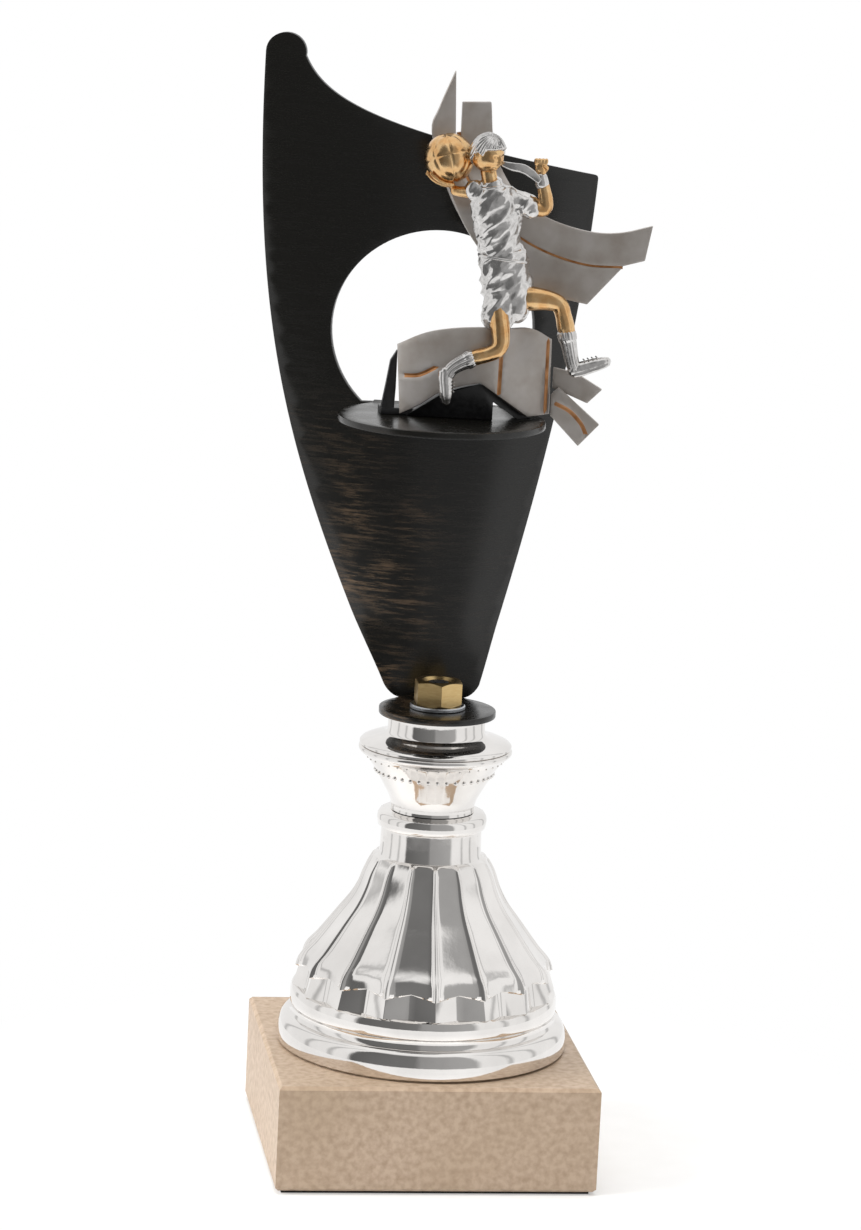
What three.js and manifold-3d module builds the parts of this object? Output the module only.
// Figure trophy: a marble block, a plated riser, a bent sheet-metal cup plate with a folded shelf,
// and a ball player with ribbons standing on the shelf.
// Millimetres. +Z is up, +X is to the viewer's right, -Y is the front.
// The origin is the middle of the underside.
import * as THREE from "three";
import { mergeVertices } from "three/addons/utils/BufferGeometryUtils.js";
import Module from "manifold-3d";

const wasm = await Module();
wasm.setup();

// ---------------------------------------------------------------- driving dimensions
const FIT_GAP = 0.3; // clearance where one piece stands inside or beside another

const BLOCK = { width: 60, depth: 60, height: 20, chamfer: 0.6 };
const FELT = { thickness: 0.6, inset: 1.2 };

const ROD = { radius: 2.4, endBelowNutTop: 0.25, showing: 1, chamfer: 0.4 }; // showing: below the base nut
const BORE_RADIUS = ROD.radius + 0.35;
const RECESS = { radius: 11, footRoom: 1.2 }; // footRoom: from the felt up to the rod's end
const BASE_WASHER = { radius: 9, thickness: 1.2 };
const NUT = { flats: 8.4, height: 4.6, chamfer: 0.35 };
const TOP_WASHER = { radius: 5.2, thickness: 0.8 };

const BELL = {
  lowerRingRadius: 27.4,
  lowerRingHeight: 5.6,
  grooveRadius: 25.6,
  grooveHeight: 2,
  upperRingRadius: 25.3,
  upperRingHeight: 3.4,
  recessRadius: 23.6,
  skirtRadius: 25.4,
  petalPointLift: 0.7, // from the upper ring up to the petals' points
  petalNotchLift: 4.8, // from the upper ring up to the notches between them
  skirtHeight: 25.1,
  neckFootRadius: 10.7,
  neckRadius: 9.6,
  neckHeight: 5.6,
  beadRadius: 10.3,
  beadHeight: 3.2,
  wall: 2,
  petals: 16,
  fluteDepth: 0.7,
};

const CUP = { footRadius: 8, waistHeight: 1.6, height: 12.4, rimRadius: 14.5, wall: 1.4, rimHeight: 0.9 };
const CAP = {
  rimHeight: 0.8,
  domeRise: 1.4,
  collarRadius: 9.2,
  collarHeight: 3.8,
  wall: 1.4,
  spigotDepth: 2,
};

const SHEET = 1.2; // thickness of the cup plate
const TAB_RADIUS = 11; // round tab that the nut clamps
const PLATE_FRONT = 9; // from the rod's axis back to the plate's front face
const PLATE = {
  footHalfWidth: 5.9,
  cornerLift: 2.4, // height of the rounded lower corners
  cornerHalfWidth: 9.1,
  height: 124, // from the tab's top to the tip
  tipX: -32,
  tipRadius: 3.6,
  rightX: 27.3,
  rightCornerDrop: 24.2, // from the tip's top down to the right-hand corner
  rightCornerRadius: 0.8,
};
const WINDOW = { x: -2.6, radius: 19, centreLift: 13.9 }; // centreLift: above the fold
const SHELF = { foldHeight: 56, radius: 19.2 }; // foldHeight: above the tab's top

// The figure. Its points are [x, y, height above the shelf].
// Its flat outlines are [x, height above the shelf].
const RIBBON = {
  thickness: 1.2,
  groove: 0.4, // gap between the two upper bands
  bendStep: 3,
  plane: -2.8, // y of the upper bands' foot
  leanBack: 4.8,
  lowerFront: -9.6,
  lowerBowRadius: 16,
};
const SADDLE = {
  left: -9.2,
  right: 14.2,
  depth: 6.5,
  underArch: 0.4, // how far the casting stays under the ribbon's arch
  legWidth: 2.8,
  gapTop: 3.4, // top of the see-through gap beside the right leg
  middleRight: 6.4,
  padHeight: 1.2,
  padBack: 1.5,
  padRight: 5.8,
  finLeft: -13.8,
  finRight: -12,
  finHeight: 12,
  finThickness: 1.4,
};
const SCREW = { x: 0, y: -4, radius: 1.4, reach: 3.6, headRadius: 2.8, headHeight: 1.8 };
const SCREW_HOLE_RADIUS = SCREW.radius + FIT_GAP;
const BALL = { x: -3.4, y: -3.6, height: 47.6, radius: 4.6 };
const PLAYER_PLANE = -7; // y of the player's middle plane

// ---------------------------------------------------------------- stack of heights, bottom up
const blockBottom = FELT.thickness;
const blockTop = blockBottom + BLOCK.height;
const baseNutBottom = blockBottom + RECESS.footRoom + ROD.showing;
const baseWasherBottom = baseNutBottom + NUT.height;
const recessTop = baseWasherBottom + BASE_WASHER.thickness;
const bellTop =
  blockTop +
  BELL.lowerRingHeight +
  BELL.grooveHeight +
  BELL.upperRingHeight +
  BELL.petalPointLift +
  BELL.skirtHeight +
  BELL.neckHeight +
  BELL.beadHeight;
const cupTop = bellTop + CUP.height;
const tabBottom = cupTop + CAP.rimHeight + CAP.domeRise + CAP.collarHeight;
const tabTop = tabBottom + SHEET;
const topNutBottom = tabTop + TOP_WASHER.thickness;
const topNutTop = topNutBottom + NUT.height;
const shelfTop = tabTop + SHELF.foldHeight;
const shelfBottom = shelfTop - SHEET;
const tipTop = tabTop + PLATE.height;

// ---------------------------------------------------------------- materials
const finish = (color, roughness, metalness) =>
  new THREE.MeshStandardMaterial({ color, roughness, metalness });
const FINISH = {
  felt: finish(0x24231f, 0.95, 0),
  marble: finish(0xa79079, 0.4, 0),
  steel: finish(0xb9bcc0, 0.35, 1),
  chrome: finish(0xe8e8e6, 0.08, 1),
  blackSheet: finish(0x181714, 0.35, 0.4),
  brass: finish(0xb99e6c, 0.3, 1),
  blackCast: finish(0x141414, 0.5, 0),
  pewter: finish(0xa1998f, 0.45, 0.6),
  gold: finish(0xc98a3c, 0.25, 1),
};

// ---------------------------------------------------------------- solids
function solid(geometry) {
  const bare = geometry.index ? geometry.toNonIndexed() : geometry.clone();
  for (const name of Object.keys(bare.attributes)) {
    if (name !== "position") bare.deleteAttribute(name);
  }
  const merged = mergeVertices(bare, 1e-4);
  return new wasm.Manifold(
    new wasm.Mesh({
      numProp: 3,
      vertProperties: merged.attributes.position.array,
      triVerts: new Uint32Array(merged.index.array),
    }),
  );
}

function geometryOf(body) {
  const made = body.getMesh();
  const geometry = new THREE.BufferGeometry();
  geometry.setAttribute("position", new THREE.BufferAttribute(new Float32Array(made.vertProperties), 3));
  geometry.setIndex(new THREE.BufferAttribute(new Uint32Array(made.triVerts), 1));
  return geometry;
}

function union(...geometries) {
  return geometries.map(solid).reduce((all, next) => all.add(next));
}

function node(name, geometry, material) {
  const shown = geometry.toNonIndexed();
  shown.computeVertexNormals();
  const mesh = new THREE.Mesh(shown, material);
  mesh.name = name;
  return mesh;
}

// A body of revolution about Z from [radius, height] points that run counter-clockwise and close on themselves.
function turned(points, segments) {
  const profile = points.map(([radius, height]) => new THREE.Vector2(radius, height));
  profile.push(profile[0].clone());
  return new THREE.LatheGeometry(profile, segments).rotateX(Math.PI / 2);
}

function ring(outer, inner, bottom, top, segments = 32) {
  return turned([[inner, bottom], [outer, bottom], [outer, top], [inner, top]], segments);
}

function rod(radius, bottom, top, chamfer, segments = 16) {
  const profile = [
    new THREE.Vector2(0, bottom),
    new THREE.Vector2(radius - chamfer, bottom),
    new THREE.Vector2(radius, bottom + chamfer),
    new THREE.Vector2(radius, top - chamfer),
    new THREE.Vector2(radius - chamfer, top),
    new THREE.Vector2(0, top),
  ];
  return new THREE.LatheGeometry(profile, segments).rotateX(Math.PI / 2);
}

// A flat outline drawn in X and Z, thickened along Y from front to back.
function upright(shape, front, back, curveSegments = 12) {
  return new THREE.ExtrudeGeometry(shape, { depth: back - front, bevelEnabled: false, curveSegments })
    .rotateX(Math.PI / 2)
    .translate(0, back, 0);
}

// A flat outline drawn in X and Y, thickened along Z.
function flat(shape, bottom, top, curveSegments = 12) {
  const depth = top - bottom;
  return new THREE.ExtrudeGeometry(shape, { depth, bevelEnabled: false, curveSegments }).translate(0, 0, bottom);
}

function shapeOf(points) {
  return new THREE.Shape(points.map(([x, y]) => new THREE.Vector2(x, y)));
}

// ---------------------------------------------------------------- base
function feltSheet() {
  const side = BLOCK.width - 2 * FELT.inset;
  const run = BLOCK.depth - 2 * FELT.inset;
  return new THREE.BoxGeometry(side, run, FELT.thickness).translate(0, 0, FELT.thickness / 2);
}

function marbleBase() {
  const { width, depth, height, chamfer } = BLOCK;
  const half = [width / 2 - chamfer, depth / 2 - chamfer];
  const outline = shapeOf([
    [-half[0], -half[1]],
    [half[0], -half[1]],
    [half[0], half[1]],
    [-half[0], half[1]],
  ]);
  const block = new THREE.ExtrudeGeometry(outline, {
    depth: height - 2 * chamfer,
    bevelThickness: chamfer,
    bevelSize: chamfer,
    bevelSegments: 1,
  }).translate(0, 0, blockBottom + chamfer);
  const bore = rod(BORE_RADIUS, blockBottom - 1, blockTop + 1, 0, 24);
  const recess = rod(RECESS.radius, blockBottom - 1, recessTop, 0, 32);
  return geometryOf(solid(block).subtract(solid(bore)).subtract(solid(recess)));
}

function washer(size, bottom) {
  return ring(size.radius, BORE_RADIUS, bottom, bottom + size.thickness, 32);
}

// A hexagon with its corners to the front and the back; both faces are chamfered to a circle.
function nut(bottom) {
  const corner = NUT.flats / Math.sqrt(3);
  const hexagon = shapeOf([...Array(6).keys()].map((i) => [
    corner * Math.sin((i * Math.PI) / 3),
    corner * Math.cos((i * Math.PI) / 3),
  ]).reverse());
  const body = flat(hexagon, bottom, bottom + NUT.height);
  const flatsRadius = NUT.flats / 2;
  const cone = turned(
    [
      [BORE_RADIUS, bottom],
      [flatsRadius, bottom],
      [corner + 0.2, bottom + NUT.chamfer + 0.1],
      [corner + 0.2, bottom + NUT.height - NUT.chamfer - 0.1],
      [flatsRadius, bottom + NUT.height],
      [BORE_RADIUS, bottom + NUT.height],
    ],
    24,
  );
  return geometryOf(solid(body).intersect(solid(cone)));
}

function tieRod() {
  return rod(ROD.radius, baseNutBottom - ROD.showing, topNutTop - ROD.endBelowNutTop, ROD.chamfer);
}

// ---------------------------------------------------------------- riser
const PETAL_STEPS = 4; // lathe segments to a petal

// 0 between petals, 1 at a petal's middle. A petal's middle faces the front.
function petalMiddle(angle) {
  const turn = ((angle / (2 * Math.PI)) * BELL.petals) % 1;
  const phase = (turn + 1) % 1;
  return 1 - 2 * Math.min(phase, 1 - phase);
}

function riserBell() {
  const b = BELL;
  const ringTop = blockTop + b.lowerRingHeight;
  const grooveTop = ringTop + b.grooveHeight;
  const upperTop = grooveTop + b.upperRingHeight;
  const skirtBottom = upperTop + b.petalPointLift;
  const skirtTop = skirtBottom + b.skirtHeight;
  const neckTop = skirtTop + b.neckHeight;
  const beadMiddle = neckTop + b.beadHeight / 2;
  const spread = b.skirtRadius - b.neckFootRadius;
  // The skirt's outline from its lowest edge to the neck: [share of height, share of spread].
  const skirt = [
    [0, 1],
    [0.18, 0.93],
    [0.42, 0.63],
    [0.66, 0.36],
    [0.84, 0.19],
    [1, 0.08],
  ];
  const skirtPoints = skirt.map(([up, out]) => [
    b.neckFootRadius + spread * out,
    skirtBottom + b.skirtHeight * up,
  ]);
  const outer = [
    [b.lowerRingRadius - 0.7, blockTop],
    [b.lowerRingRadius, blockTop + 0.9],
    [b.lowerRingRadius, ringTop - 1.4],
    [b.lowerRingRadius - 0.8, ringTop],
    [b.grooveRadius, ringTop],
    [b.grooveRadius - 0.6, grooveTop],
    [b.upperRingRadius, grooveTop],
    [b.upperRingRadius - 0.5, upperTop],
    [b.recessRadius, upperTop],
    [b.recessRadius, skirtBottom, "edge"],
    ...skirtPoints.map(([radius, height], i) => [radius, height, i === 0 ? "edge" : "flute"]),
    [b.neckFootRadius, skirtTop],
    [b.neckRadius, skirtTop + b.neckHeight * 0.5],
    [b.neckRadius - 0.3, neckTop],
    [b.beadRadius - 0.4, neckTop],
    [b.beadRadius, beadMiddle - 0.6],
    [b.beadRadius, beadMiddle + 0.6],
    [b.beadRadius - 0.7, bellTop],
  ];
  const inner = [
    [BORE_RADIUS, bellTop],
    [BORE_RADIUS, bellTop - b.wall],
    [b.neckRadius - b.wall, neckTop - b.wall],
    [b.neckRadius - b.wall, skirtTop - b.wall],
    [b.neckFootRadius + spread * 0.6 - b.wall, skirtBottom + b.skirtHeight * 0.42],
    [b.recessRadius - b.wall, skirtBottom],
    [b.recessRadius - b.wall, blockTop],
  ];
  const profile = [...outer, ...inner];
  const geometry = turned(profile, b.petals * PETAL_STEPS);
  const position = geometry.attributes.position;
  const rows = profile.length + 1; // the lathe repeats the first row to close the profile
  const vertex = new THREE.Vector3();
  for (let i = 0; i < position.count; i++) {
    const kind = profile[(i % rows) % profile.length][2];
    if (!kind) continue;
    vertex.fromBufferAttribute(position, i);
    const hollow = 1 - petalMiddle(Math.atan2(vertex.x, -vertex.y));
    const radius = Math.hypot(vertex.x, vertex.y);
    const shrink = kind === "flute" ? 1 - (b.fluteDepth * hollow ** 2) / radius : 1;
    const lift = kind === "edge" ? (b.petalNotchLift - b.petalPointLift) * hollow : 0;
    position.setXYZ(i, vertex.x * shrink, vertex.y * shrink, vertex.z + lift);
  }
  return geometry;
}

function riserCup() {
  const c = CUP;
  const rise = (share) => bellTop + c.waistHeight + (c.height - c.waistHeight) * share;
  const reach = (share) => c.footRadius + (c.rimRadius - c.footRadius) * share;
  const flare = [
    [0, 0],
    [0.32, 0.2],
    [0.6, 0.5],
    [0.82, 0.8],
  ];
  const outer = flare.map(([up, out]) => [reach(out), rise(up)]);
  const inner = flare.map(([up, out]) => [reach(out) - c.wall, rise(up)]).reverse();
  return turned(
    [
      [BORE_RADIUS, bellTop],
      [c.footRadius, bellTop],
      ...outer,
      [c.rimRadius, cupTop - c.rimHeight],
      [c.rimRadius, cupTop],
      [c.rimRadius - 2 * c.wall, cupTop],
      ...inner,
      [BORE_RADIUS, rise(0)],
    ],
    36,
  );
}

function topCap() {
  const domeFoot = cupTop + CAP.rimHeight;
  const collarFoot = domeFoot + CAP.domeRise;
  const spigot = CUP.rimRadius - 2 * CUP.wall - FIT_GAP;
  return turned(
    [
      [spigot - CAP.wall, cupTop - CAP.spigotDepth],
      [spigot, cupTop - CAP.spigotDepth],
      [spigot, cupTop],
      [CUP.rimRadius - 0.2, cupTop],
      [CUP.rimRadius - 0.2, domeFoot],
      [(CUP.rimRadius + CAP.collarRadius) / 2, domeFoot + CAP.domeRise * 0.65],
      [CAP.collarRadius, collarFoot],
      [CAP.collarRadius, tabBottom],
      [BORE_RADIUS, tabBottom],
      [BORE_RADIUS, tabBottom - CAP.wall],
      [CAP.collarRadius - CAP.wall, tabBottom - CAP.wall],
      [spigot - CAP.wall, cupTop],
    ],
    36,
  );
}

// ---------------------------------------------------------------- cup plate
// How far the plate's edges fall back behind its middle line: a cone that opens upwards, flat at the foot.
function bow(x, z) {
  const lift = z - tabTop;
  const start = Math.min(Math.max(lift / 15, 0), 1);
  const easeIn = start * start * (3 - 2 * start);
  const coneRadius = 0.6 * (lift + 17.8);
  return lift <= 0 ? 0 : (easeIn * x * x) / (2 * coneRadius);
}

function plateOutline() {
  const p = PLATE;
  const tipZ = tipTop - p.tipRadius;
  const cornerZ = tabTop + p.cornerLift;
  const rightZ = tipTop - p.rightCornerDrop;
  const r = p.rightCornerRadius;
  const shape = new THREE.Shape();
  shape.moveTo(-p.footHalfWidth, tabBottom);
  shape.lineTo(-p.footHalfWidth, tabTop);
  shape.quadraticCurveTo(-p.footHalfWidth - 2, tabTop, -p.cornerHalfWidth, cornerZ);
  shape.bezierCurveTo(
    -3 * p.cornerHalfWidth,
    cornerZ + 0.34 * (tipZ - cornerZ),
    p.tipX - p.tipRadius - 0.4,
    cornerZ + 0.55 * (tipZ - cornerZ),
    p.tipX - p.tipRadius,
    tipZ,
  );
  shape.absarc(p.tipX, tipZ, p.tipRadius, Math.PI, -0.15, true);
  shape.bezierCurveTo(p.tipX + 7.5, tipZ - 9, -14, rightZ + 7.5, p.rightX - r, rightZ);
  shape.quadraticCurveTo(p.rightX, rightZ, p.rightX, rightZ - r);
  shape.bezierCurveTo(
    p.rightX - 2,
    cornerZ + 0.65 * (rightZ - cornerZ),
    1.9 * p.cornerHalfWidth,
    cornerZ + 0.3 * (rightZ - cornerZ),
    p.cornerHalfWidth,
    cornerZ,
  );
  shape.quadraticCurveTo(p.footHalfWidth + 2, tabTop, p.footHalfWidth, tabTop);
  shape.lineTo(p.footHalfWidth, tabBottom);
  shape.closePath();
  shape.holes.push(windowOutline());
  return shape;
}

function windowOutline() {
  const half = Math.asin(WINDOW.centreLift / WINDOW.radius);
  const hole = new THREE.Path();
  hole.absarc(WINDOW.x, shelfTop + WINDOW.centreLift, WINDOW.radius, -half, Math.PI + half, false);
  hole.closePath();
  return hole;
}

function cupPlate() {
  const height = tipTop - tabBottom + 2;
  const slab = new THREE.BoxGeometry(90, SHEET, height, 18, 1, 12).translate(
    0,
    PLATE_FRONT + SHEET / 2,
    tabBottom - 1 + height / 2,
  );
  const position = slab.attributes.position;
  for (let i = 0; i < position.count; i++) {
    position.setY(i, position.getY(i) + bow(position.getX(i), position.getZ(i)));
  }
  const plate = solid(slab).intersect(solid(upright(plateOutline(), 0, 60, 16)));

  // The shelf is the window's disc, folded forward; its back edge runs inside the bent plate.
  const shelfCentreY = PLATE_FRONT - WINDOW.centreLift;
  const backHalf = Math.sqrt(WINDOW.radius ** 2 - WINDOW.centreLift ** 2) - 0.4;
  const back = (x) => PLATE_FRONT + SHEET / 2 + bow(x, shelfTop);
  const right = WINDOW.x + backHalf;
  const left = WINDOW.x - backHalf;
  const shelf = new THREE.Shape();
  const startAngle = Math.atan2(back(right) - shelfCentreY, backHalf);
  const endAngle = Math.PI - Math.atan2(back(left) - shelfCentreY, backHalf);
  shelf.absarc(WINDOW.x, shelfCentreY, SHELF.radius, startAngle, endAngle, true);
  for (let i = 0; i <= 8; i++) {
    const x = left + ((right - left) * i) / 8;
    shelf.lineTo(x, back(x));
  }
  shelf.closePath();

  const tab = new THREE.Shape();
  const tabBack = PLATE_FRONT + SHEET / 2;
  const tabHalf = Math.asin(tabBack / TAB_RADIUS);
  tab.absarc(0, 0, TAB_RADIUS, tabHalf, Math.PI - tabHalf, true);
  tab.closePath();
  const bore = rod(BORE_RADIUS, tabBottom - 1, tabTop + 1, 0, 24);
  const screwHole = rod(SCREW_HOLE_RADIUS, shelfBottom - 1, shelfTop + 1, 0, 16).translate(SCREW.x, SCREW.y, 0);
  return geometryOf(
    plate
      .add(solid(flat(shelf, shelfBottom, shelfTop, 24)))
      .add(solid(flat(tab, tabBottom, tabTop, 20)))
      .subtract(solid(bore))
      .subtract(solid(screwHole)),
  );
}

// ---------------------------------------------------------------- figure: ribbons and saddle
const ease = (t) => {
  const held = Math.min(Math.max(t, 0), 1);
  return held * held * (3 - 2 * held);
};

// An upright sheet cut to a closed outline in [x, height]. plane(x, height) is the y of its middle surface.
function ribbon(outline, plane) {
  const shape = new THREE.Shape();
  shape.moveTo(...outline[0].at[0]);
  for (const { at, curved } of outline) {
    if (curved) shape.splineThru(at.slice(1).map(([x, h]) => new THREE.Vector2(x, h)));
    else at.slice(1).forEach(([x, h]) => shape.lineTo(x, h));
  }
  const reach = 30; // further than any sheet bends
  const cutter = upright(shape, -reach, reach, 3);
  cutter.computeBoundingBox();
  const { min, max } = cutter.boundingBox;
  const width = max.x - min.x + 2;
  const height = max.z - min.z + 2;
  const steps = (length) => Math.ceil(length / RIBBON.bendStep);
  const slab = new THREE.BoxGeometry(width, RIBBON.thickness, height, steps(width), 1, steps(height));
  slab.translate((min.x + max.x) / 2, 0, (min.z + max.z) / 2);
  const position = slab.attributes.position;
  for (let i = 0; i < position.count; i++) {
    position.setY(i, position.getY(i) + plane(position.getX(i), position.getZ(i)));
  }
  return solid(slab).intersect(solid(cutter));
}

const onShelf = (body) => geometryOf(body).translate(0, 0, shelfTop);

const line = (...at) => ({ at, curved: false });
const curve = (...at) => ({ at, curved: true });

// The upper ribbons lean back towards their tips and swing forward at their right-hand ends.
const upperPlane = (x, h) =>
  RIBBON.plane + RIBBON.leanBack * ease((h - 37) / 9) - 0.004 * Math.max(x - 8, 0) ** 2;
const lowerPlane = (x) =>
  RIBBON.lowerFront + RIBBON.thickness / 2 + (x - 2) ** 2 / (2 * RIBBON.lowerBowRadius);

const GROOVE = [[0.2, 44], [4.2, 37.6], [10.5, 33.2], [16.4, 30.4], [23.1, 28.7], [29.5, 28.6]];

function outerRibbon() {
  return ribbon(
    [
      line([-2.2, 62.4], [-1.7, 51.6]),
      curve([-1.7, 51.6], ...GROOVE),
      line(GROOVE.at(-1), [23.5, 21.6]),
      curve(
        [23.5, 21.6],
        [12.9, 23.8],
        [6, 28],
        [2.4, 31.9],
        [-0.6, 36.5],
        [-3.2, 42.3],
        [-6.1, 51.8],
        [-4.9, 56.4],
      ),
    ],
    upperPlane,
  );
}

function innerRibbon() {
  const steep = 2; // the groove's first points, where it runs nearly upright
  const groove = GROOVE.map(([x, h], i) => [
    x + RIBBON.groove * (i < steep ? 1 : 0.3),
    h + RIBBON.groove,
  ]).reverse();
  return ribbon(
    [
      line([-0.7, 57.5], [4.6, 57.7]),
      curve([4.6, 57.7], [5.8, 48.8], [10.1, 40.5], [16.1, 37], [23.1, 35.1], [28.8, 35.1], [34.7, 36.7]),
      line([34.7, 36.7], [33.6, 30.2], groove[0]),
      curve(...groove, [-0.7, 51.6]),
    ],
    upperPlane,
  );
}

const ARCH = [[-7.1, 2.4], [-3.7, 5], [-0.2, 6.4], [3.5, 7.2]]; // the arch under the lower ribbon

function lowerRibbon() {
  return ribbon(
    [
      line([-10.2, 0.4], [-11.1, 13.2]),
      curve([-11.1, 13.2], [-6.7, 15.8], [-2, 17], [3.2, 17.4], [8.5, 17.2], [13, 17], [17.2, 14.7]),
      line([17.2, 14.7], [17.5, 0.7], [12.9, 0.6], ARCH.at(-1)),
      curve(...ARCH.toReversed(), [-10.2, 0.4]),
    ],
    lowerPlane,
  );
}

const tailPlane = (x) => -2.6 - 0.16 * (x - 17.5);

function frontTail() {
  return ribbon([line([19.2, 5.9], [27, -0.7], [23.3, -4.9], [17.9, 0.6], [17.9, 4.4])], tailPlane);
}

function rearTail() {
  const plane = (x) => tailPlane(x) + RIBBON.thickness + 0.1;
  return ribbon([line([18.3, 9.4], [22.4, 8.6], [27.4, 5.7], [24.8, 3], [18.3, 5.6])], plane);
}

// The black saddle: an arched block behind the lower ribbon, a strut beside a gap, a pad and a fin.
function figureBase() {
  const saddle = SADDLE;
  const clear = RIBBON.thickness / 2 + FIT_GAP;
  const arch = shapeOf([
    [saddle.left, 0],
    ...ARCH.map(([x, h]) => [x + saddle.underArch, h - saddle.underArch]),
    [saddle.right, 0.6],
    [saddle.right, 0],
    [saddle.right - saddle.legWidth, 0],
    [saddle.middleRight, saddle.gapTop],
    [saddle.middleRight, 0],
  ].reverse());
  const block = upright(arch, 0, saddle.depth, 4);
  const position = block.attributes.position;
  const back = RIBBON.lowerFront + saddle.depth + clear;
  const leastDepth = 2;
  for (let i = 0; i < position.count; i++) {
    const front = lowerPlane(position.getX(i)) + clear;
    const share = 1 - position.getY(i) / saddle.depth;
    position.setY(i, share * front + (1 - share) * Math.max(back, front + leastDepth));
  }
  const padFront = lowerPlane(saddle.left) + clear + 0.6;
  const padWidth = saddle.padRight - saddle.finLeft;
  const padDepth = saddle.padBack - padFront;
  const pad = new THREE.BoxGeometry(padWidth, padDepth, saddle.padHeight).translate(
    (saddle.padRight + saddle.finLeft) / 2,
    (saddle.padBack + padFront) / 2,
    saddle.padHeight / 2,
  );
  const fin = shapeOf([
    [saddle.finLeft, 0.2],
    [saddle.finRight + 0.8, 0.2],
    [saddle.finRight, 5],
    [saddle.finRight, saddle.finHeight],
    [saddle.finLeft + 0.6, saddle.finHeight - 2],
    [saddle.finLeft, 6],
  ]);
  const finFront = padFront + 0.2;
  const finSolid = upright(fin, finFront, finFront + saddle.finThickness);
  const hole = rod(SCREW_HOLE_RADIUS, -1, SCREW.reach + FIT_GAP, 0, 16).translate(SCREW.x, SCREW.y, 0);
  return onShelf(union(block, pad, finSolid).subtract(solid(hole)));
}

function figureScrew() {
  const headTop = -SHEET;
  const r = SCREW.radius;
  const headFoot = headTop - SCREW.headHeight;
  const profile = [
    [0, headFoot],
    [SCREW.headRadius * 0.6, headFoot],
    [SCREW.headRadius, headFoot + SCREW.headHeight * 0.6],
    [SCREW.headRadius, headTop],
    [r, headTop],
    [r, SCREW.reach - 0.4],
    [r - 0.4, SCREW.reach],
    [0, SCREW.reach],
  ].map(([radius, height]) => new THREE.Vector2(radius, height));
  return new THREE.LatheGeometry(profile, 20).rotateX(Math.PI / 2).translate(SCREW.x, SCREW.y, shelfTop);
}

// ---------------------------------------------------------------- figure: player and ball
// A limb with round ends, from a to b, tapering from one radius to the other.
function limb(a, b, radiusA, radiusB, segments = 8) {
  const from = new THREE.Vector3(...a);
  const to = new THREE.Vector3(...b);
  const length = from.distanceTo(to);
  const profile = [];
  const arc = 3;
  for (let i = 0; i <= arc; i++) {
    const turn = (i / arc) * (Math.PI / 2);
    profile.push(new THREE.Vector2(radiusA * Math.sin(turn), -radiusA * Math.cos(turn)));
  }
  for (let i = 0; i <= arc; i++) {
    const turn = (i / arc) * (Math.PI / 2);
    profile.push(new THREE.Vector2(radiusB * Math.cos(turn), length + radiusB * Math.sin(turn)));
  }
  const along = new THREE.Quaternion().setFromUnitVectors(
    new THREE.Vector3(0, 1, 0),
    to.clone().sub(from).normalize(),
  );
  return new THREE.LatheGeometry(profile, segments).applyQuaternion(along).translate(...a);
}

function blob(centre, size) {
  return new THREE.SphereGeometry(1, 14, 10).scale(...size).translate(...centre);
}

// The trunk's cross-sections from the shorts' hem to the shoulders: [x, height, half width, half depth].
const TRUNK = [
  [8, 19, 4.8, 3],
  [7.4, 24, 5, 3.2],
  [6.6, 29.4, 4.3, 3],
  [5.8, 34, 4.4, 3],
  [5.2, 40, 4.7, 3.1],
  [4.6, 43.2, 3.4, 2.4],
];

function trunk() {
  const rounds = 14;
  const profile = TRUNK.map(([, h]) => new THREE.Vector2(1, h));
  profile.unshift(new THREE.Vector2(0, TRUNK[0][1]));
  profile.push(new THREE.Vector2(0, TRUNK.at(-1)[1]));
  const geometry = new THREE.LatheGeometry(profile, rounds).rotateX(Math.PI / 2);
  const position = geometry.attributes.position;
  for (let i = 0; i < position.count; i++) {
    const row = Math.min(Math.max((i % profile.length) - 1, 0), TRUNK.length - 1);
    const [x, , halfWidth, halfDepth] = TRUNK[row];
    position.setX(i, x + position.getX(i) * halfWidth);
    position.setY(i, PLAYER_PLANE + position.getY(i) * halfDepth);
  }
  return geometry;
}

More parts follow.
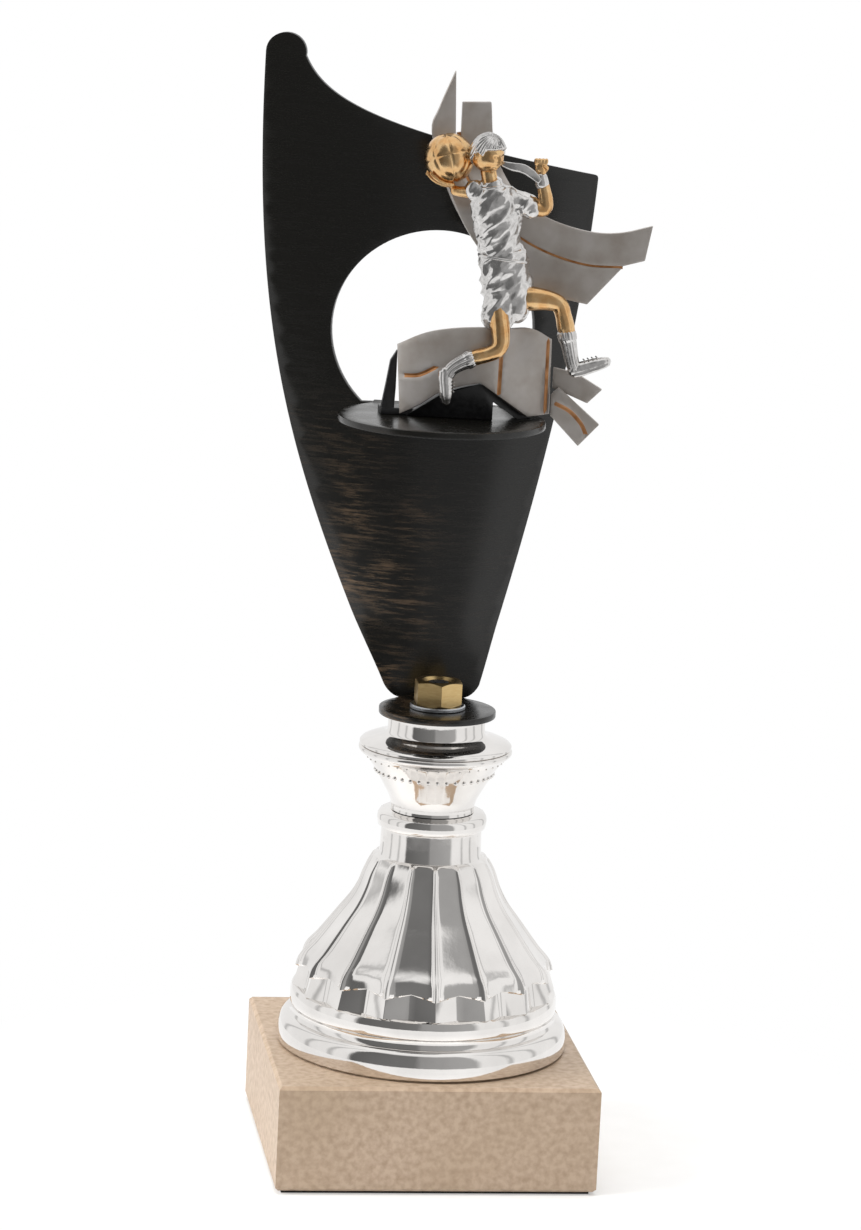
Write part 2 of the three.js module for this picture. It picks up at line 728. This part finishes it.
function player() {
  const y = PLAYER_PLANE;
  const parts = [
    trunk(),
    limb([4.2, y, 42], [3.6, y, 46], 1.6, 1.5), // neck
    blob([3.1, y, 48.7], [3.1, 3.3, 3.9]), // head
    limb([7.9, y - 0.6, 40.6], [14.1, y - 1, 39], 1.7, 1.5), // raised arm
    limb([14.1, y - 1, 39], [12.9, y - 1, 46.6], 1.5, 1.1),
    blob([12.9, y - 1, 47.3], [1.7, 1.6, 1.6]),
    limb([2.4, y + 0.4, 41.6], [-0.6, y + 1.4, 44.4], 1.6, 1.2), // arm that holds the ball
    limb([10, y - 0.6, 22], [17.6, y - 2, 22.4], 2.6, 1.7), // raised leg
    limb([17.6, y - 2, 22.4], [20.3, y - 2, 11.8], 1.7, 1.2),
    limb([21, y - 2, 9.9], [26.6, y - 2, 11.7], 1.6, 1.3),
    limb([6.2, y - 1.4, 21.6], [6.3, y - 4.4, 17.8], 2.3, 1.8), // trailing leg
    limb([6.3, y - 4.4, 17.8], [6.6, y - 4.6, 14.4], 1.8, 1.6),
    limb([6.6, y - 4.6, 14.4], [-1.6, y - 4.5, 10.6], 1.6, 1.2),
    limb([-3.2, y - 4.5, 9.4], [-2.9, y - 4.5, 4.2], 1.5, 1.3),
  ];
  const room = new THREE.SphereGeometry(BALL.radius + FIT_GAP, 24, 16).translate(BALL.x, BALL.y, BALL.height);
  return onShelf(union(...parts).subtract(solid(room)));
}

function ball() {
  return new THREE.SphereGeometry(BALL.radius, 24, 16).translate(BALL.x, BALL.y, BALL.height + shelfTop);
}

// ---------------------------------------------------------------- assembly
const trophy = new THREE.Group();
trophy.add(
  node("felt_sheet", feltSheet(), FINISH.felt),
  node("marble_base", marbleBase(), FINISH.marble),
  node("base_washer", washer(BASE_WASHER, baseWasherBottom), FINISH.steel),
  node("base_nut", nut(baseNutBottom), FINISH.steel),
  node("tie_rod", tieRod(), FINISH.steel),
  node("riser_bell", riserBell(), FINISH.chrome),
  node("riser_cup", riserCup(), FINISH.chrome),
  node("top_cap", topCap(), FINISH.chrome),
  node("cup_plate", cupPlate(), FINISH.blackSheet),
  node("top_washer", washer(TOP_WASHER, tabTop), FINISH.steel),
  node("top_nut", nut(topNutBottom), FINISH.brass),
  node("figure_screw", figureScrew(), FINISH.steel),
  node("figure_base", figureBase(), FINISH.blackCast),
  node("lower_ribbon", onShelf(lowerRibbon()), FINISH.pewter),
  node("front_tail_ribbon", onShelf(frontTail()), FINISH.pewter),
  node("rear_tail_ribbon", onShelf(rearTail()), FINISH.pewter),
  node("outer_ribbon", onShelf(outerRibbon()), FINISH.pewter),
  node("inner_ribbon", onShelf(innerRibbon()), FINISH.pewter),
  node("player", player(), FINISH.chrome),
  node("ball", ball(), FINISH.gold),
);

export default trophy;
